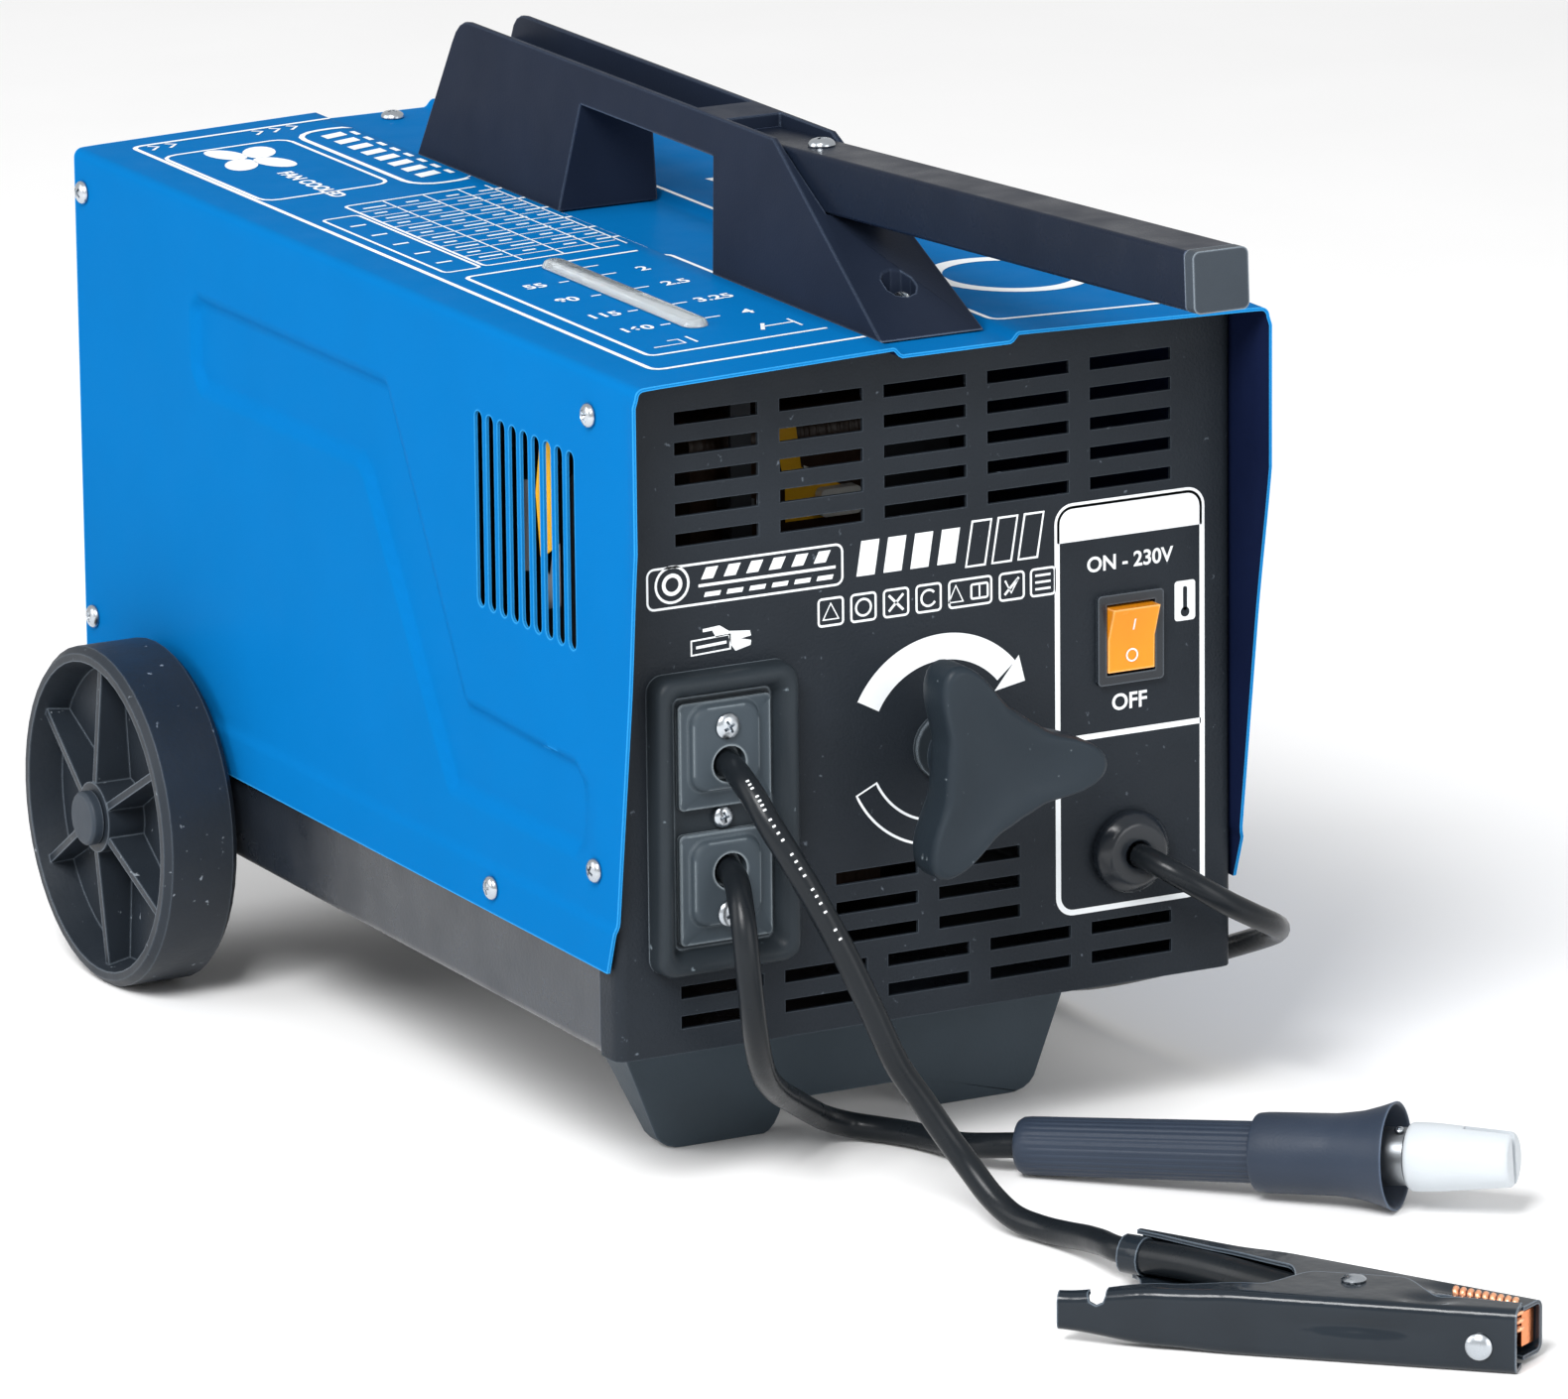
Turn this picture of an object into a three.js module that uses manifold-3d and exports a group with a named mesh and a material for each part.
// A small wheeled arc welder: a fan-cooled transformer in a sheet steel case, a moving-shunt current
// regulator, and two welding leads that end in an electrode holder and an earth clamp.
// Millimetres, +Z up. The machine stands on the plane Z = 0 and its front panel faces -Y.
// Inside the machine group, y = 0 is the outer face of the front panel.
import * as THREE from "three";
import { mergeVertices } from "three/addons/utils/BufferGeometryUtils.js";
import Module from "manifold-3d";

const wasm = await Module();
wasm.setup();

// ---- Driving dimensions -------------------------------------------------------------------------
const GAP = 0.3;                    // clearance between touching pieces
const SHEET = 1.5;                  // base and panel steel
const COVER_SHEET = 1.2;            // cover steel
const HALF_WIDTH = 120.5;           // base and panels, outside
const BASE_BOTTOM = 54;             // underside of the base above the floor
const CASE_TOP = 293.5;             // outer side edge of the roof
const CASE_REAR = 421;              // outer face of the rear panel
const COVER_FRONT = -22.6;          // the cover's top overhangs the front panel
const COVER_REAR = 423.3;
const ROOF_CROWN = 2.7;             // the roof rises from its side edges to the handle channel
const CHANNEL = [20.5, 24];         // half widths of the handle channel, bottom and top
const WHEEL = { radius: 62.5, width: 29, inner: 125.7, y: 349 };
const FOOT_FRONT = 60.5;
const SLOT = { width: 31.8, height: 4.5, pitchX: 40, pitchZ: 10.53, topRow: 273.4, lowRow: 62.6 };
const VENT = { count: 9, firstY: 26, pitch: 8.6, width: 5.8, height: 69, z: 227.8 };
const DIAL = { x: -64, y: 97.5, length: 111, width: 7 };
const TERMINAL = { x: -80.5, z: 135.4, width: 55, height: 105, leadUp: 155.8, leadDown: 118.3 };
const SWITCH = { x: 79, z: 177.7, width: 26, height: 32 };
const MAINS = { x: 78.5, z: 101.7 };
const KNOB = { x: 6, z: 149, front: -42, thickness: 17, turn: 115.2 };
const SPINDLE_RADIUS = 5;
const SHUNT_TRAVEL = 76;            // along Y, as far as the pointer moves under its window
const BAR = { side: 20, front: -194, rear: 120, centreFront: 350.7, slope: 3.3 };
const HANDLE = { top: 347, halfTop: 12.3, draft: 0.144, wall: 2, bottom: 293.9 };
const LEAD = 9;                     // diameter of both welding leads
const MAINS_CABLE = 8.5;
const FAN = { z: 175, radius: 70 };
const CORE = { x: 6, halfX: 75, front: 130, rear: 230, bottom: 76, top: 226, limb: 34 };
const CLAMP = { x: 23.2, y: -245.8, height: 22, nearTurn: -42.4, farTurn: -62 };
const HOLDER = { rear: [20.9, -25.3, 10.3], flare: [111.7, -125.4, 19.1], flareAt: 135.4 };

// The machine's box is centred on the origin in Y: from the tow bar's cap to the back of the cover.
const CAP_FRONT = BAR.front - 6.58;
const PANEL_Y = -(CAP_FRONT + COVER_REAR) / 2;

// ---- Materials ----------------------------------------------------------------------------------
const paint = (color, roughness, metalness = 0) =>
  new THREE.MeshStandardMaterial({ color, roughness, metalness });
const BLUE = paint(0x0f74b8, 0.45);
const BLACK_STEEL = paint(0x1b1e23, 0.6, 0.2);
const BLACK_PLASTIC = paint(0x202329, 0.55);
const GREY_PLASTIC = paint(0x3a3d40, 0.6);
const RUBBER = paint(0x15171a, 0.7);
const STEEL = paint(0xb9bdc2, 0.35, 0.9);
const DARK_IRON = paint(0x4a4b50, 0.5, 0.7);
const WINDING = paint(0xc9971c, 0.6);
const COPPER = paint(0xc06a3c, 0.35, 0.9);
const ORANGE = paint(0xf08418, 0.35);
const CLEAR = paint(0xcfd8e0, 0.15);
const RED = paint(0xc8201c, 0.5);
const IVORY = paint(0xe9ebe8, 0.5);

// ---- Solids -------------------------------------------------------------------------------------
function solid(geometry) {
  const bare = geometry.clone();
  bare.deleteAttribute("normal");
  bare.deleteAttribute("uv");
  const merged = mergeVertices(bare.index ? bare.toNonIndexed() : bare, 1e-4);
  return new wasm.Manifold(new wasm.Mesh({
    numProp: 3,
    vertProperties: new Float32Array(merged.attributes.position.array),
    triVerts: new Uint32Array(merged.index.array),
  }));
}

function geometryOf(manifold) {
  const mesh = manifold.getMesh();
  const geometry = new THREE.BufferGeometry();
  geometry.setAttribute("position", new THREE.BufferAttribute(new Float32Array(mesh.vertProperties), 3));
  geometry.setIndex(new THREE.BufferAttribute(new Uint32Array(mesh.triVerts), 1));
  geometry.computeVertexNormals();
  return geometry;
}

const unite = (...geometries) => geometries.map(solid).reduce((all, one) => all.add(one));
const cut = (body, ...geometries) => geometries.reduce((left, one) => left.subtract(solid(one)), body);

function node(name, shape, material, group) {
  const mesh = new THREE.Mesh(shape instanceof wasm.Manifold ? geometryOf(shape) : shape, material);
  mesh.name = name;
  group.add(mesh);
  return mesh;
}

function box([x0, x1], [y0, y1], [z0, z1]) {
  return new THREE.BoxGeometry(x1 - x0, y1 - y0, z1 - z0)
    .translate((x0 + x1) / 2, (y0 + y1) / 2, (z0 + z1) / 2);
}

const shapeOf = (points) => (points instanceof THREE.Shape ? points
  : new THREE.Shape(points.map(([a, b]) => new THREE.Vector2(a, b))));

function extrude(outline, depth, curveSegments = 4) {
  return new THREE.ExtrudeGeometry(shapeOf(outline), { depth, bevelEnabled: false, curveSegments });
}

// Outlines drawn in (x, y), (x, z) and (y, z), pulled along the third axis.
const prismZ = (outline, [z0, z1]) => extrude(outline, z1 - z0).translate(0, 0, z0);
const prismY = (outline, [y0, y1]) => extrude(outline, y1 - y0).rotateX(Math.PI / 2).translate(0, y1, 0);
const prismX = (outline, [x0, x1]) => extrude(outline, x1 - x0)
  .rotateY(Math.PI / 2).rotateX(Math.PI / 2).translate(x0, 0, 0);

// A solid of revolution about Z from [radius, height] points, turned onto another axis if asked.
function lathe(profile, segments = 24, axis = "z") {
  const geometry = new THREE.LatheGeometry(profile.map(([r, h]) => new THREE.Vector2(r, h)), segments);
  geometry.rotateX(Math.PI / 2);
  if (axis === "x") geometry.rotateY(Math.PI / 2);
  if (axis === "y") geometry.rotateX(-Math.PI / 2);
  return geometry;
}

const rod = (radius, [from, to], axis = "z", segments = 16) =>
  lathe([[0, from], [radius, from], [radius, to], [0, to]], segments, axis);

const ring = (inner, outer, [from, to], axis = "z", segments = 24) =>
  lathe([[inner, from], [outer, from], [outer, to], [inner, to], [inner, from]], segments, axis);

function roundedBox(width, height, radius) {
  const shape = new THREE.Shape();
  const x = width / 2 - radius;
  const y = height / 2 - radius;
  shape.absarc(x, -y, radius, -Math.PI / 2, 0);
  shape.absarc(x, y, radius, 0, Math.PI / 2);
  shape.absarc(-x, y, radius, Math.PI / 2, Math.PI);
  shape.absarc(-x, -y, radius, Math.PI, Math.PI * 1.5);
  return shape;
}

// The closed outline of a bent strip of one thickness about a centre line of [a, b, bend radius].
function strip(centreLine, thickness) {
  const line = [];
  centreLine.forEach(([a, b, radius = 0], index) => {
    const point = new THREE.Vector2(a, b);
    if (!radius) {
      line.push(point);
      return;
    }
    const before = new THREE.Vector2(...centreLine[index - 1]).sub(point).normalize();
    const after = new THREE.Vector2(...centreLine[index + 1]).sub(point).normalize();
    const setback = radius / Math.tan(Math.acos(before.dot(after)) / 2);
    const bend = new THREE.QuadraticBezierCurve(point.clone().addScaledVector(before, setback),
      point, point.clone().addScaledVector(after, setback));
    line.push(...bend.getPoints(3));
  });
  const side = (sign) => line.map((point, index) => {
    const back = point.clone().sub(line[Math.max(index - 1, 0)]).normalize();
    const ahead = line[Math.min(index + 1, line.length - 1)].clone().sub(point).normalize();
    const along = back.add(ahead).normalize();
    const reference = index ? point.clone().sub(line[index - 1]).normalize() : along;
    const miter = 1 / Math.max(along.dot(reference), 0.5);
    return [point.x - along.y * sign * miter * thickness / 2,
      point.y + along.x * sign * miter * thickness / 2];
  });
  return [...side(1), ...side(-1).reverse()];
}

// ---- Fasteners ----------------------------------------------------------------------------------
const SCREW = { head: 4.3, rise: 2.7, shank: 1.6, hole: 2.1, length: 2.6 };

// A pan head screw standing on the plane z = 0, its shank below it.
function panScrew({ head, rise, shank, length } = SCREW) {
  return lathe([[0, -length], [shank, -length], [shank, GAP / 2], [head, GAP / 2], [head, rise * 0.45],
    [head * 0.78, rise * 0.85], [head * 0.4, rise], [0, rise]], 12);
}

function screw(name, [x, y, z], facing, group, size = SCREW) {
  const mesh = node(name, panScrew(size), STEEL, group);
  mesh.position.set(x, y, z);
  mesh.quaternion.setFromUnitVectors(new THREE.Vector3(0, 0, 1), new THREE.Vector3(...facing));
  return mesh;
}

const SIDE_SCREWS = [[10.5, 278], [10.9, 119.7], [87.8, 95.1], [415.5, 278.5], [415.5, 119]];
const ROOF_SCREW = [2, 412];
const HANDLE_SCREW_Y = 18;

const acrossHoles = (places, radius) => places.map(([y, z]) =>
  rod(radius, [-130, 130], "x", 10).translate(0, y, z));
const uprightHole = (x, y, radius, heights) => rod(radius, heights, "z", 10).translate(x, y, 0);

// ---- Case ---------------------------------------------------------------------------------------
function chassisBase(group) {
  const inside = HALF_WIDTH - SHEET / 2;
  const floor = BASE_BOTTOM + SHEET / 2;
  const tray = prismY(strip([[-inside, 108], [-inside, floor, 3], [inside, floor, 3], [inside, 108]],
    SHEET), [12 + GAP, CASE_REAR - 12 - GAP]);
  const floorPlate = box([-inside + 4, inside - 4], [SHEET + GAP, CASE_REAR],
    [BASE_BOTTOM, BASE_BOTTOM + SHEET]);
  const holes = [
    ...acrossHoles([[WHEEL.y, WHEEL.radius]], 6.4),
    ...acrossHoles([SIDE_SCREWS[2]], SCREW.hole),
  ];
  node("chassis_base", cut(unite(tray, floorPlate), ...holes), BLACK_STEEL, group);
}

function frontPanel(group) {
  const inside = HALF_WIDTH - SHEET / 2;
  const pan = solid(prismZ(strip([[-inside, 12], [-inside, SHEET / 2, 4], [inside, SHEET / 2, 4],
    [inside, 12]], SHEET), [BASE_BOTTOM, CASE_TOP - COVER_SHEET - 0.6]));
  const slots = [];
  const addSlot = (x, z) => slots.push(
    box([x - SLOT.width / 2, x + SLOT.width / 2], [-2, 4], [z, z + SLOT.height]));
  for (let column = -2; column <= 2; column++) {
    for (let row = 0; row < 5; row++) addSlot(column * SLOT.pitchX, SLOT.topRow - row * SLOT.pitchZ);
    for (let row = 0; row < 2; row++) addSlot(column * SLOT.pitchX, SLOT.lowRow + row * SLOT.pitchZ);
  }
  for (const x of [-SLOT.pitchX / 2, SLOT.pitchX / 2]) {
    for (let row = 2; row < 5; row++) addSlot(x, SLOT.lowRow + row * SLOT.pitchZ);
  }
  const through = (radius, x, z) => rod(radius, [-2, 4], "y").translate(x, 0, z);
  const openings = [
    box([SWITCH.x - 11.4, SWITCH.x + 11.4], [-2, 4], [SWITCH.z - 14.4, SWITCH.z + 14.4]),
    through(9.4, KNOB.x, KNOB.z),
    through(11.4, MAINS.x, MAINS.z),
    through(7, TERMINAL.x, TERMINAL.leadUp),
    through(7, TERMINAL.x, TERMINAL.leadDown),
  ];
  node("front_panel", cut(pan, ...slots, ...openings, ...panelCorners(),
    ...acrossHoles(SIDE_SCREWS.slice(0, 2), SCREW.hole)), BLACK_STEEL, group);
}

function rearPanel(group) {
  const inside = HALF_WIDTH - SHEET / 2;
  const back = CASE_REAR - SHEET / 2;
  const pan = solid(prismZ(strip([[-inside, CASE_REAR - 12], [-inside, back, 4], [inside, back, 4],
    [inside, CASE_REAR - 12]], SHEET), [BASE_BOTTOM + SHEET + GAP, CASE_TOP - COVER_SHEET - 0.6]));
  const grille = [];
  for (let row = -5; row <= 5; row++) {
    const half = Math.sqrt(FAN.radius ** 2 - (row * 12) ** 2) - 3;
    for (const side of [-1, 1]) {
      const ends = [side * 3, side * half].sort((a, b) => a - b);
      grille.push(box(ends, [CASE_REAR - 3, CASE_REAR + 2],
        [FAN.z + row * 12 - 3, FAN.z + row * 12 + 3]));
    }
  }
  node("rear_panel", cut(pan, ...grille, ...panelCorners(),
    ...acrossHoles(SIDE_SCREWS.slice(3), SCREW.hole)), BLACK_STEEL, group);
}

// Clears the rounded top corners of the cover.
const panelCorners = () => [-1, 1].map((sign) => {
  const ends = [sign * 117, sign * 125].sort((a, b) => a - b);
  return box(ends, [-5, CASE_REAR + 5], [CASE_TOP - 5, CASE_TOP + 5]);
});

// The Z-shaped recess pressed into both side walls, as a (y, z) outline.
const SIDE_RECESS = [[320, 257], [167, 257], [109, 155.5], [26, 153.5], [21, 149], [21, 128],
  [26, 123], [121.5, 123], [184, 221], [190, 225], [318, 225], [324, 231], [324, 253]];

function cover(group) {
  const side = HALF_WIDTH + GAP + COVER_SHEET / 2;
  const edge = CASE_TOP - COVER_SHEET / 2;
  const [low, high] = CHANNEL;
  const right = [[low, edge], [high, edge + ROOF_CROWN], [side, edge, 3], [side, 104], [side + 1, 101],
    [side + 1, 85.6]];
  const left = right.map(([x, ...rest]) => [-x, ...rest]).reverse();
  const shell = solid(prismY(strip([...left, ...right], COVER_SHEET), [COVER_FRONT, COVER_REAR]));
  const sweptFront = prismX([[-40, 237], [COVER_FRONT, 237], [-4, 103], [-2, 101], [2, 80], [-40, 80]],
    [-130, 130]);
  const vents = [];
  for (let index = 0; index < VENT.count; index++) {
    vents.push(prismX(roundedBox(VENT.width, VENT.height, VENT.width / 2 - 0.01), [-130, -110])
      .translate(0, VENT.firstY + index * VENT.pitch, VENT.z));
  }
  const window = prismZ(roundedBox(DIAL.width, DIAL.length, DIAL.width / 2 - 0.01), [280, 310])
    .translate(DIAL.x, DIAL.y, 0);
  const recessDepth = COVER_SHEET / 2;
  const recess = [-1, 1].map((sign) => {
    const ends = [sign * (side + COVER_SHEET / 2 - recessDepth), sign * 130].sort((a, b) => a - b);
    return prismX(SIDE_RECESS, ends);
  });
  node("cover", cut(shell, sweptFront, ...vents, window, ...recess,
    ...acrossHoles(SIDE_SCREWS, SCREW.hole),
    uprightHole(...ROOF_SCREW, SCREW.hole, [285, 300]),
    uprightHole(0, HANDLE_SCREW_Y, SCREW.hole, [285, 300])), BLUE, group);
}

function caseScrews(group) {
  SIDE_SCREWS.forEach(([y, z], index) => {
    const strapOver = z < 103 ? 1 : 0;
    const x = -(HALF_WIDTH + GAP + COVER_SHEET + strapOver);
    screw(`cover_screw_${index + 1}`, [x, y, z], [-1, 0, 0], group);
  });
  screw("cover_screw_roof", [...ROOF_SCREW, CASE_TOP], [0, 0, 1], group);
}

// ---- Handle and tow bar -------------------------------------------------------------------------
const barHeight = (y) => BAR.centreFront - (y - BAR.front) * Math.tan(THREE.MathUtils.degToRad(BAR.slope));

function handle(group) {
  const { top, bottom, halfTop, draft, wall } = HANDLE;
  const halfBottom = halfTop + (top - bottom) * draft;
  const outline = new THREE.Shape();
  outline.moveTo(-6, bottom);
  outline.lineTo(81.5, 345);
  outline.lineTo(85, top);
  outline.lineTo(318, top);
  outline.quadraticCurveTo(327, top, 330, 338);
  outline.lineTo(347, bottom);
  outline.lineTo(234, bottom);
  outline.lineTo(227, 333.5);
  outline.lineTo(126, 333.5);
  outline.lineTo(116.5, bottom);
  const section = [[-halfBottom, bottom], [halfBottom, bottom], [halfTop, top], [-halfTop, top]];
  const body = solid(prismX(outline, [-25, 25])).intersect(solid(prismY(section, [-20, 360])));
  const inner = halfTop - wall;
  const gripFloor = 337;
  const pocketRear = BAR.rear + 2;
  const underBar = (y) => barHeight(y) - BAR.side / 2 - GAP;
  node("handle", cut(body,
    box([-inner, inner], [pocketRear + 22, 360], [gripFloor, top + 5]),
    prismX([[-20, underBar(-20)], [pocketRear, underBar(pocketRear)], [pocketRear, top + 5],
      [-20, top + 5]], [-inner, inner]),
    box([-14, 14], [246, 330], [bottom - 1, 326]),
    box([-14, 14], [44, 108], [bottom - 1, 309]),
    uprightHole(0, HANDLE_SCREW_Y, 6, [297.5, 340]),
    uprightHole(0, HANDLE_SCREW_Y, SCREW.hole, [290, 300])), BLACK_PLASTIC, group);
  screw("handle_screw", [0, HANDLE_SCREW_Y, 297.5], [0, 0, 1], group, { ...SCREW, length: 7 });
}

function towBar(group) {
  const bar = new THREE.Group();
  bar.position.set(0, BAR.front, BAR.centreFront);
  bar.rotation.x = -THREE.MathUtils.degToRad(BAR.slope);
  group.add(bar);
  const length = BAR.rear - BAR.front;
  const bore = BAR.side - 2 * SHEET;
  const tube = prismY(roundedBox(BAR.side, BAR.side, 1.5), [0, length]);
  const screwAt = 266.5;
  node("tow_bar", cut(solid(tube), prismY(roundedBox(bore, bore, 0.8), [-5, length + 5]),
    uprightHole(0, screwAt, SCREW.hole, [5, 15])), BLACK_STEEL, bar);
  node("tow_bar_cap", unite(prismY(roundedBox(BAR.side + 0.6, BAR.side + 0.6, 2.5), [-6, -GAP]),
    prismY(roundedBox(bore - 2 * GAP, bore - 2 * GAP, 0.8), [-1, 12])), BLACK_PLASTIC, bar);
  screw("tow_bar_screw", [0, screwAt, BAR.side / 2], [0, 0, 1], bar);
}

// ---- Current dial, spindle and shunt ------------------------------------------------------------
function dialWindow(group) {
  const roof = CASE_TOP + ROOF_CROWN * 0.6;
  const lens = (width, length, heights) =>
    prismZ(roundedBox(width, length, width / 2 - 0.01), heights).translate(DIAL.x, DIAL.y, 0);
  node("dial_window", unite(lens(DIAL.width - 2 * GAP, DIAL.length - 2 * GAP, [roof - 3, roof + 3])),
    CLEAR, group);
}

function regulator(group) {
  node("spindle", rod(SPINDLE_RADIUS, [KNOB.front + 6, CORE.rear + 10], "y", 20)
    .translate(KNOB.x, 0, KNOB.z), STEEL, group);
  node("spindle_bush", lathe([[SPINDLE_RADIUS + GAP, -3], [12, -3], [12, -GAP], [9.1, -GAP], [9.1, 8],
    [SPINDLE_RADIUS + GAP, 8], [SPINDLE_RADIUS + GAP, -3]], 20, "y")
    .translate(KNOB.x, 0, KNOB.z), GREY_PLASTIC, group);

  const rest = CORE.front + 5;
  const block = box([CORE.x - 37, CORE.x + 37], [rest, rest + 90], [KNOB.z - 20, KNOB.z + 20]);
  const bore = rod(SPINDLE_RADIUS + 0.4, [rest - 5, rest + 95], "y", 20).translate(KNOB.x, 0, KNOB.z);
  const arm = [
    box([-20, -12], [106, rest + 1], [KNOB.z + 16, KNOB.z + 18]),
    box([-20, -12], [104, 106], [KNOB.z + 16, 252]),
    box([-20, -12], [104, 133], [250, 252]),
    box([-68, -12], [123, 133], [250, 252]),
  ];
  node("shunt_block", cut(unite(block, ...arm), bore), DARK_IRON, group);
  node("dial_pointer", unite(box([DIAL.x - 3, DIAL.x + 3], [127.3, 129.3], [252 + GAP, 290]),
    box([DIAL.x - 3, DIAL.x + 3], [124, 132], [252 + GAP, 254])), RED, group);
}

function knobOutline(grow = 0) {
  const points = [];
  const steps = 60;
  for (let index = 0; index < steps; index++) {
    const angle = (index / steps) * Math.PI * 2;
    const radius = 27.6 + 10.1 * Math.cos(3 * angle) + 3.6 * Math.cos(6 * angle)
      + 0.9 * Math.cos(9 * angle) + grow;
    const turned = angle + THREE.MathUtils.degToRad(KNOB.turn);
    points.push([radius * Math.cos(turned), radius * Math.sin(turned)]);
  }
  return points;
}

function knob(group) {
  const back = KNOB.front + KNOB.thickness;
  const body = unite(prismY(knobOutline(), [KNOB.front + 1.5, back]),
    prismY(knobOutline(-1.2), [KNOB.front, KNOB.front + 2]),
    rod(13, [back - 1, -12], "y", 20));
  const bore = rod(SPINDLE_RADIUS + GAP, [KNOB.front + 6 - GAP, 0], "y", 20);
  node("knob", cut(body, bore), BLACK_PLASTIC, group).position.set(KNOB.x, 0, KNOB.z);
}

// ---- Front fittings -----------------------------------------------------------------------------
function terminalBlock(group) {
  const at = (geometry) => geometry.translate(TERMINAL.x, 0, TERMINAL.z);
  const housing = cut(solid(at(prismY(roundedBox(TERMINAL.width, TERMINAL.height, 6), [-9, -GAP]))),
    at(prismY(roundedBox(36, 87.5, 2), [-12, -2.3])));
  node("terminal_housing", housing, GREY_PLASTIC, group);
  const plates = [["terminal_plate_upper", 157.6, TERMINAL.leadUp, 169.2, 161.8],
    ["terminal_plate_lower", 113, TERMINAL.leadDown, 103.6, 114.2]];
  for (const [name, z, hole, screwZ, bossZ] of plates) {
    const plate = unite(prismY(roundedBox(34.8, 41, 1.5), [-5, -2.6]).translate(TERMINAL.x, 0, z),
      prismY(roundedBox(26, 28, 4), [-7.5, -4]).translate(TERMINAL.x, 0, bossZ));
    node(name, cut(plate, rod(6.3, [-9, -1], "y").translate(TERMINAL.x, 0, hole),
      rod(SCREW.hole, [-9, -1], "y", 10).translate(TERMINAL.x, 0, screwZ)), GREY_PLASTIC, group);
    screw(name.replace("plate", "screw"), [TERMINAL.x, -7.5, screwZ], [0, -1, 0], group,
      { ...SCREW, length: 4.8 });
  }
}

function powerSwitch(group) {
  const bezel = unite(prismY(roundedBox(SWITCH.width, SWITCH.height, 1.5), [-2, -GAP]),
    box([-11, 11], [-1, 17], [-14, 14]));
  const pocket = box([-9.6, 9.6], [-4, 15], [-12.6, 12.6]);
  node("switch_bezel", cut(bezel, pocket), BLACK_PLASTIC, group)
    .position.set(SWITCH.x, 0, SWITCH.z);
  // At rest the lower half is pressed in and the upper half stands proud.
  const profile = new THREE.Shape();
  profile.moveTo(-6.5, 11.6);
  profile.lineTo(-2.4, 0);
  profile.lineTo(-2.2, -11.6);
  profile.lineTo(2.5, -11.2);
  profile.quadraticCurveTo(9.5, -4, 9.5, 0);
  profile.quadraticCurveTo(9.5, 4, 4, 11.4);
  node("switch_rocker", prismX(profile, [-9.2, 9.2]), ORANGE, group)
    .position.set(SWITCH.x, 0, SWITCH.z);
}

function mainsInlet(group) {
  node("mains_gland", lathe([[MAINS_CABLE / 2 + GAP, -8], [11, -8], [14.6, -4.5], [14.6, -GAP],
    [11.1, -GAP], [11.1, 8], [MAINS_CABLE / 2 + GAP, 8], [MAINS_CABLE / 2 + GAP, -8]], 24, "y")
    .translate(MAINS.x, 0, MAINS.z), RUBBER, group);
}

// ---- Underside ----------------------------------------------------------------------------------
function frontFoot(group) {
  const outline = new THREE.Shape();
  outline.moveTo(-64, 0);
  outline.lineTo(-33, 0);
  outline.quadraticCurveTo(-28, 1, -25, 11);
  outline.lineTo(27, 11);
  outline.quadraticCurveTo(29, 1, 34, 0);
  outline.lineTo(64, 0);
  outline.quadraticCurveTo(72, 0, 75, 5);
  outline.lineTo(94, BASE_BOTTOM - GAP);
  outline.lineTo(-94, BASE_BOTTOM - GAP);
  outline.lineTo(-75, 5);
  outline.quadraticCurveTo(-72, 0, -64, 0);
  const wedge = [[FOOT_FRONT, 0], [FOOT_FRONT + 8, 0], [FOOT_FRONT + 27, BASE_BOTTOM],
    [FOOT_FRONT, BASE_BOTTOM]];
  const body = solid(prismY(outline, [FOOT_FRONT - 1, FOOT_FRONT + 30]))
    .intersect(solid(prismX(wedge, [-100, 100])));
  node("front_foot", body, BLACK_PLASTIC, group);
}

function wheels(group) {
  const { radius, width, inner, y } = WHEEL;
  const half = width / 2;
  const centre = inner + half;
  node("axle", rod(6, [-centre - half - 2.3, centre + half + 2.3], "x", 20).translate(0, y, radius),
    STEEL, group);
  const profile = [[6.3, -half], [13, -half], [13, -4], [54.5, -2], [56, -half], [60, -half],
    [radius, -half + 2.5], [radius, half - 2.5], [60, half], [57, half], [54.5, 2], [13, 0],
    [13, half], [6.3, half], [6.3, -half]];
  for (const [name, sign] of [["left", -1], ["right", 1]]) {
    const turned = profile.map(([r, h]) => [r, h * sign]);
    const web = lathe(sign > 0 ? turned : turned.reverse(), 48, "x");
    const ribs = [];
    for (let index = 0; index < 6; index++) {
      const rib = prismZ([[12, 0], [56, 0], [56, half - 4], [12, half - 0.5]], [-1.5, 1.5]);
      rib.applyMatrix4(new THREE.Matrix4().makeBasis(new THREE.Vector3(0, 0, 1),
        new THREE.Vector3(sign, 0, 0), new THREE.Vector3(0, sign, 0)));
      ribs.push(rib.rotateX((index * Math.PI) / 3));
    }
    node(`wheel_${name}`, unite(web, ...ribs), BLACK_PLASTIC, group)
      .position.set(sign * centre, y, radius);
    const cap = [[0, 4.8], [9, 4.8], [10, 3.8], [10, GAP], [6.3, GAP], [6.3, 2.6], [0, 2.6]];
    const capTurned = cap.map(([r, h]) => [r, h * sign]);
    node(`hub_cap_${name}`, lathe(sign > 0 ? capTurned.reverse() : capTurned, 24, "x"),
      GREY_PLASTIC, group).position.set(sign * (centre + half), y, radius);
  }
}

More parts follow.
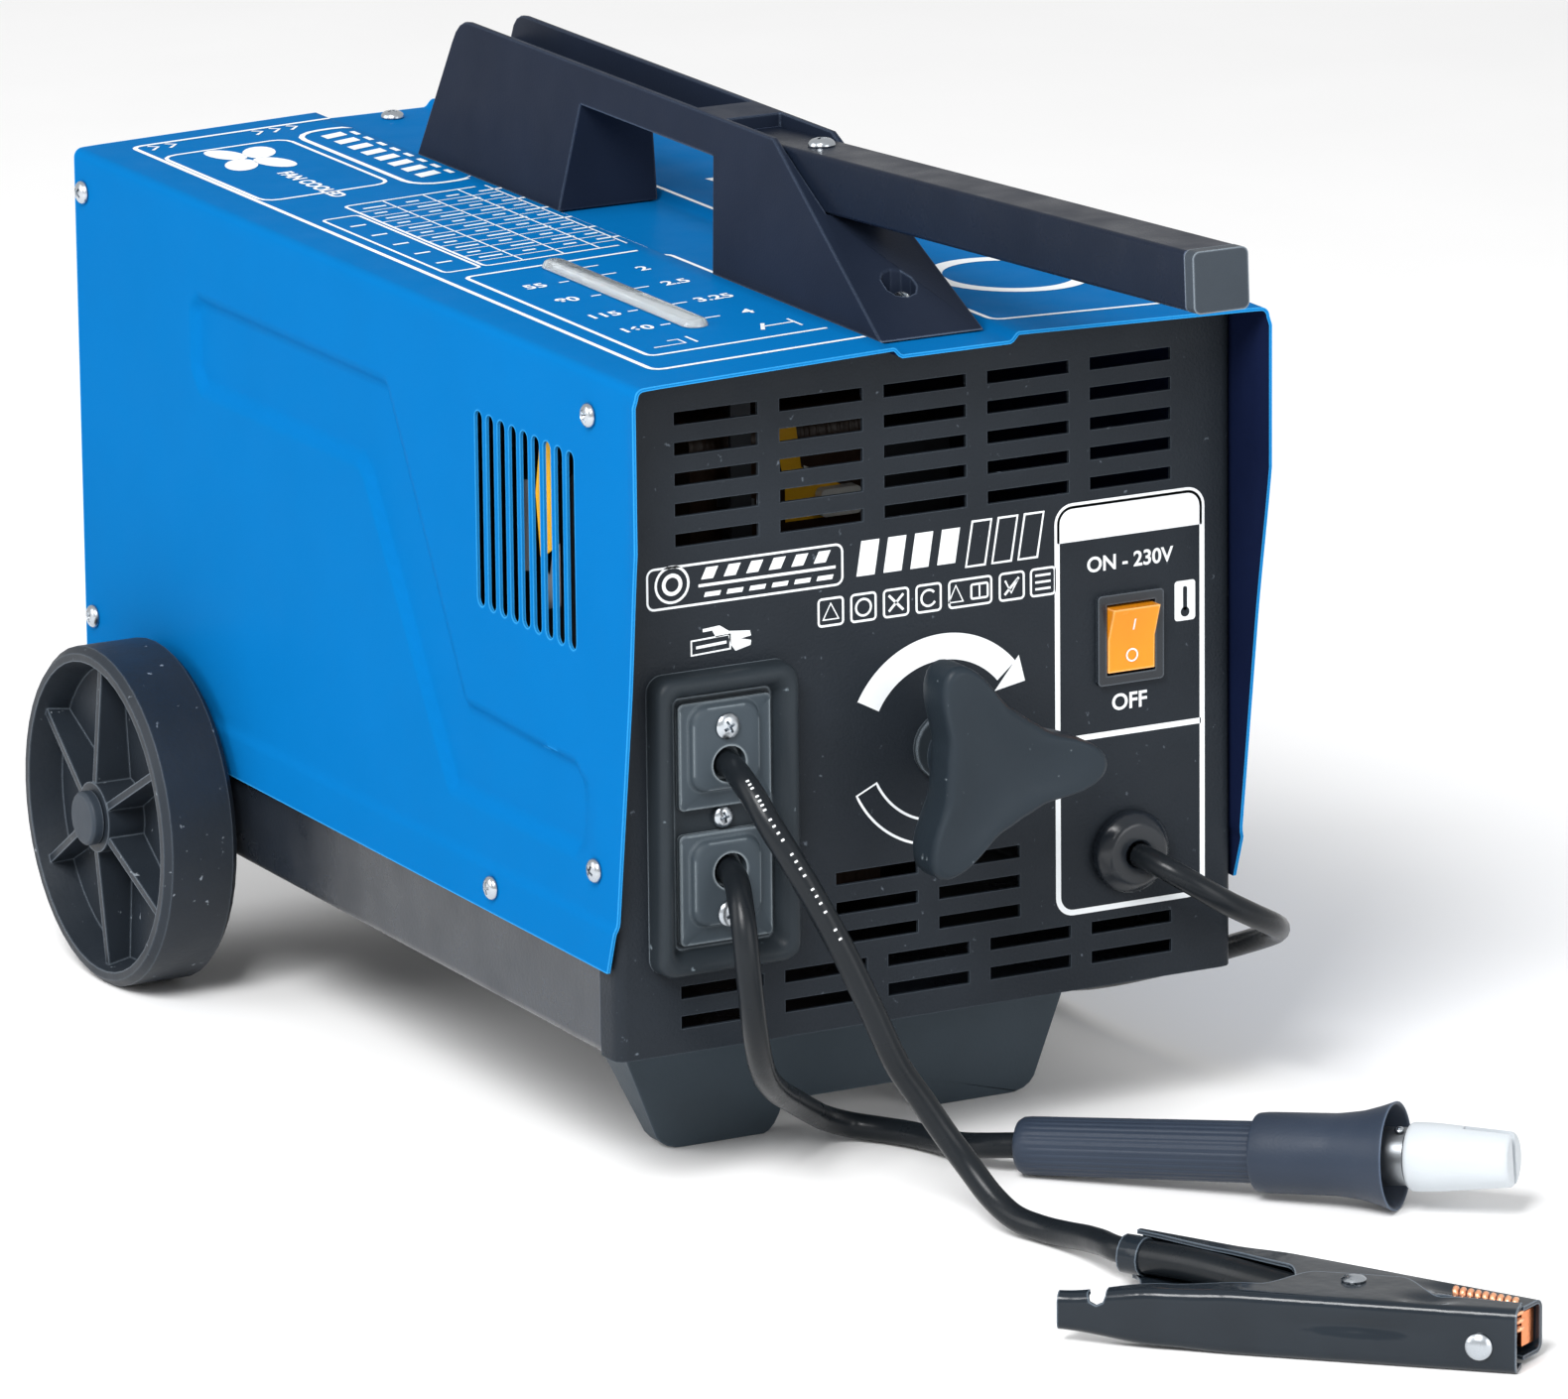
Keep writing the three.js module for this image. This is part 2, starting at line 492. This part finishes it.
// ---- Transformer and fan ------------------------------------------------------------------------
function transformer(group) {
  const { x, halfX, front, rear, bottom, top, limb } = CORE;
  const windowHalf = halfX - 36;
  const core = cut(solid(box([x - halfX, x + halfX], [front, rear], [bottom, top])),
    box([x - windowHalf, x + windowHalf], [front - 1, rear + 1], [bottom + limb, top - limb]));
  node("transformer_core", core, DARK_IRON, group);
  const depth = rear - front;
  const wire = 16;
  const coil = (name, z) => {
    const outer = roundedBox(depth + 2 * wire, limb + 2 * wire, 10);
    const hole = roundedBox(depth + 2 * GAP, limb + 2 * GAP, 0.5);
    const ringShape = cut(solid(prismX(outer, [x - 37, x + 37])), prismX(hole, [x - 40, x + 40]));
    node(name, ringShape, WINDING, group).position.set(0, (front + rear) / 2, z);
  };
  coil("primary_coil", bottom + limb / 2);
  coil("secondary_coil", top - limb / 2);
  for (const [name, sign] of [["left", -1], ["right", 1]]) {
    const outerX = x + sign * (halfX - 2);
    const innerX = x + sign * (halfX - 26);
    const channel = strip([[innerX, bottom - GAP - 1.5], [outerX, bottom - GAP - 1.5],
      [outerX, BASE_BOTTOM + SHEET + GAP + 1.5], [innerX, BASE_BOTTOM + SHEET + GAP + 1.5]], 3);
    node(`core_bracket_${name}`, prismY(channel, [front + 10, rear - 10]), STEEL, group);
  }
  node("thermostat", prismY(roundedBox(16, 10, 2), [front - wire - 5, front - wire - GAP])
    .translate(x + 20, 0, top - limb / 2), IVORY, group);
}

function fan(group) {
  const plateY = 376;
  const bracket = unite(box([-100, 100], [plateY, plateY + 2], [FAN.z - 12, FAN.z + 12]),
    box([-100, -98], [plateY, plateY + 32], [FAN.z - 12, FAN.z + 12]),
    box([98, 100], [plateY, plateY + 32], [FAN.z - 12, FAN.z + 12]));
  const shaftHole = rod(8, [plateY - 2, plateY + 4], "y").translate(0, 0, FAN.z);
  node("fan_bracket", cut(bracket, shaftHole), STEEL, group);
  const motor = unite(box([-30, 30], [plateY - 34, plateY - GAP], [FAN.z - 26, FAN.z + 26]),
    rod(18, [plateY - 44, plateY - 2], "y").translate(0, 0, FAN.z));
  node("fan_motor", cut(motor, rod(3.3, [plateY - 12, plateY + 2], "y", 12).translate(0, 0, FAN.z)),
    DARK_IRON, group);
  const blades = [rod(14, [plateY + 8, plateY + 26], "y", 20), rod(3, [plateY - 10, plateY + 10], "y", 12)];
  for (let index = 0; index < 5; index++) {
    const blade = box([10, FAN.radius - 4], [-1, 1], [-20, 20]).rotateX(THREE.MathUtils.degToRad(28));
    blades.push(blade.translate(0, plateY + 17, 0).rotateY((index * Math.PI * 2) / 5));
  }
  node("fan_blades", unite(...blades), IVORY, group).position.z = FAN.z;
}

// ---- Cords --------------------------------------------------------------------------------------
// Each route starts at its exit, and its points are the ones the finished cord follows.
const EARTH_ROUTE = [[-80.5, -3, 155.8], [-80.7, -10, 155.3], [-81, -18, 152.6], [-80.2, -25, 147.8],
  [-78.3, -31.5, 140.4], [-73.1, -39, 127.7], [-66.9, -44, 113.9], [-58.8, -49, 95.5],
  [-51.5, -52.5, 77.5], [-42.8, -56, 56.3], [-34.4, -58.5, 42.6], [-28, -61.5, 31.5],
  [-22.3, -67.5, 21], [-18.4, -77, 11.8], [-15, -87, 6.6], [-11, -97.5, 5.1], [-8.5, -110, 6],
  [-8.2, -123, 8.2], [-9.3, -136, 10.3], [-9.7, -147.5, 11.2], [-6.2, -157.6, 11.3]];
const ELECTRODE_ROUTE = [[-80.5, -3, 118.3], [-81, -10, 118], [-83, -17.5, 115.6], [-85.3, -24.5, 109.8],
  [-86.5, -29.2, 101], [-85.5, -30.2, 85], [-81.2, -25.5, 67.3], [-71.6, -12.8, 47.6],
  [-59.3, 1.2, 35.4], [-46.6, 14, 26.6], [-33.5, 26.3, 17.8], [-21.6, 35.4, 10.4],
  [-11.4, 37.2, 6.2], [-3.4, 31, 5], [3.2, 20.5, 5], [7.5, 8.6, 5.2], [9.6, -3.2, 6.4],
  [13.6, -16.4, 9], [20.56, -24.93, 10.27], [31, -36.4, 11.3], [45, -51.9, 12.6], [59.8, -68.2, 14.1]];
const MAINS_ROUTE = [[78.5, -8.3, 101.7], [79.5, -14, 101], [84, -21.5, 98], [92, -27, 92.5],
  [102, -29, 86], [112.5, -27.5, 80], [122.5, -22.5, 74.5], [130.5, -14, 69.5], [135.5, -3, 64.5],
  [137.5, 9, 59.5], [137.5, 30, 51], [136, 55, 41], [134.5, 80, 31.5], [133.5, 105, 22.5],
  [133.5, 130, 14.5], [135, 155, 8.4], [139, 180, 5.2], [147, 204, 4.6], [156, 226, 4.6],
  [162.5, 248, 4.6], [165.5, 270, 4.6], [166, 294, 4.6]];
const COIL = { x: 222, y: 325, mean: 47.5, turns: 5, layers: 2 };
const PLUG = { x: 172.5, y: 388, z: 18.2 };

function cord(name, route, diameter, steps, group) {
  const curve = new THREE.CatmullRomCurve3(route.map((point) => new THREE.Vector3(...point)));
  const section = new THREE.Shape();
  section.absarc(0, 0, diameter / 2, 0, Math.PI * 2);
  node(name, new THREE.ExtrudeGeometry(section, { steps, extrudePath: curve, curveSegments: 5,
    bevelEnabled: false }), RUBBER, group);
}

function mainsCoil(group) {
  const rows = Math.ceil(COIL.turns / COIL.layers);
  const half = (rows * MAINS_CABLE) / 2;
  const height = COIL.layers * MAINS_CABLE;
  node("mains_coil", ring(COIL.mean - half, COIL.mean + half, [0.4, height], "z", 32)
    .translate(COIL.x, COIL.y, 0), RUBBER, group);
}

// A two-pin plug lying on the floor behind the coil, its pins along +y.
function mainsPlug(group) {
  const plug = unite(
    lathe([[0, 0], [6, 0], [7, 10], [17, 26], [18, 30], [18, 42], [0, 42]], 20, "y"),
    rod(2.4, [40, 61], "y", 10).translate(-9.5, 0, 0),
    rod(2.4, [40, 61], "y", 10).translate(9.5, 0, 0));
  node("mains_plug", plug, RUBBER, group).position.set(PLUG.x, PLUG.y, PLUG.z);
}

// ---- Electrode holder ---------------------------------------------------------------------------
// It lies on the rim of its guard and the end of its grip; local x runs from grip to tip.
function electrodeHolder(group) {
  const rear = new THREE.Vector3(...HOLDER.rear);
  const along = new THREE.Vector3(...HOLDER.flare).sub(rear).normalize();
  const tool = new THREE.Group();
  tool.position.copy(rear);
  tool.quaternion.setFromUnitVectors(new THREE.Vector3(1, 0, 0), along);
  group.add(tool);
  const revolve = (profile, segments = 32) => lathe(profile, segments, "x");
  node("holder_grip", revolve([[5, 0.5], [8, 0], [10, 2], [10.6, 90], [6, 90], [6, 60], [5, 60],
    [5, 0.5]]), RUBBER, tool);
  node("holder_guard", revolve([[11, 86], [13.2, 86], [14, 90], [14, 116], [15, 124],
    [18.8, HOLDER.flareAt], [17, HOLDER.flareAt], [11, 122], [11, 86]]), RUBBER, tool);
  node("holder_neck", revolve([[0, 60.5], [5.6, 60.5], [5.6, 95], [10, 100], [10, 121.5],
    [10, HOLDER.flareAt + 5], [0, HOLDER.flareAt + 5]]), STEEL, tool);
  const tip = revolve([[0, 141], [11.8, 141], [11.6, 150], [9.3, 176.4], [8.5, 177], [0, 177]]);
  const slot = box([158, 180], [-1.8, 1.8], [-12, 12]);
  node("holder_tip", cut(solid(tip), slot), IVORY, tool);
}

// ---- Earth clamp --------------------------------------------------------------------------------
// Two pressed levers on their side, on an upright pivot. Local x runs from handles to jaws.
function leverOutline(web, ear) {
  const side = Math.sign(web);
  return [[-95, web], [58, web], [58, web - side * 10], [34, web - side * 12], [14, side * -ear],
    [-12, side * -ear], [-24, web - side * 13], [-95, web - side * 6]];
}

function lever(web, ear, [low, high], endHeight, thickness = 1.5) {
  const side = Math.sign(web);
  const outline = leverOutline(web, ear);
  const inner = [[-100, web - side * thickness], [62, web - side * thickness], [62, -side * 60],
    [-100, -side * 60]];
  const taper = (high - low - endHeight) / 2;
  const middle = (low + high) / 2;
  const silhouette = [[-95, low + taper], [-60, low + 1], [-30, low], [58, low], [58, high], [-30, high],
    [-60, high - 1], [-95, high - taper]];
  const body = solid(prismZ(outline, [low, high]))
    .intersect(solid(prismY(silhouette, [-40, 40])));
  const hollow = solid(prismZ(inner, [low + thickness, high - thickness]))
    .intersect(solid(prismY(silhouette.map(([x, z]) => [x * 1.05, middle + (z - middle) * 0.86]),
      [-70, 70])));
  return body.subtract(hollow).subtract(solid(rod(3.3, [-20, 20], "z", 16)));
}

function earthClamp(group) {
  const clamp = new THREE.Group();
  clamp.position.set(CLAMP.x, CLAMP.y, CLAMP.height / 2 + GAP);
  group.add(clamp);
  const half = CLAMP.height / 2;
  const turned = (degrees) => {
    const arm = new THREE.Group();
    arm.rotation.z = THREE.MathUtils.degToRad(degrees);
    clamp.add(arm);
    return arm;
  };
  const near = turned(CLAMP.nearTurn);
  const far = turned(CLAMP.farTurn);
  node("clamp_lever_near", lever(-20.8, 8, [-half, half], 13), BLACK_STEEL, near);
  node("clamp_lever_far", lever(22.8, 8, [-half + 1.9, half - 1.9], 16), BLACK_STEEL, far);
  node("clamp_jaw_near", prismZ([[36, -18.8], [56, -18.8], [56, -12], [52, -11], [36, -14]], [-6, 6]),
    COPPER, near);
  node("clamp_jaw_far", prismZ([[36, 20.8], [56, 20.8], [56, 13], [36, 16]], [-6, 6]), COPPER, far);
  node("clamp_pivot", unite(rod(3, [-half - 0.2, half + 0.4], "z", 16),
    rod(5, [half + GAP, half + 1.8], "z", 16)), STEEL, clamp);
  node("clamp_spring", ring(3.6, 6, [-6.5, 6.5], "z", 20), STEEL, clamp);
  const crimp = lathe([[0, -91], [5.5, -91], [5.5, -78], [4, -77], [4, -62], [0, -62]], 16, "x");
  node("clamp_lug", crimp.translate(0, 15.4, 0), COPPER, far);
}

// ---- Assembly -----------------------------------------------------------------------------------
const welder = new THREE.Group();
const machine = new THREE.Group();
machine.position.y = PANEL_Y;
welder.add(machine);

const sections = [chassisBase, frontPanel, rearPanel, cover, caseScrews, handle, towBar, dialWindow,
  regulator, knob, terminalBlock, powerSwitch, mainsInlet, frontFoot, wheels, transformer, fan,
  mainsCoil, mainsPlug, electrodeHolder, earthClamp];
for (const build of sections) build(machine);
cord("earth_lead", EARTH_ROUTE, LEAD, 24, machine);
cord("electrode_lead", ELECTRODE_ROUTE, LEAD, 24, machine);
cord("mains_cable", MAINS_ROUTE, MAINS_CABLE, 28, machine);

export default welder;
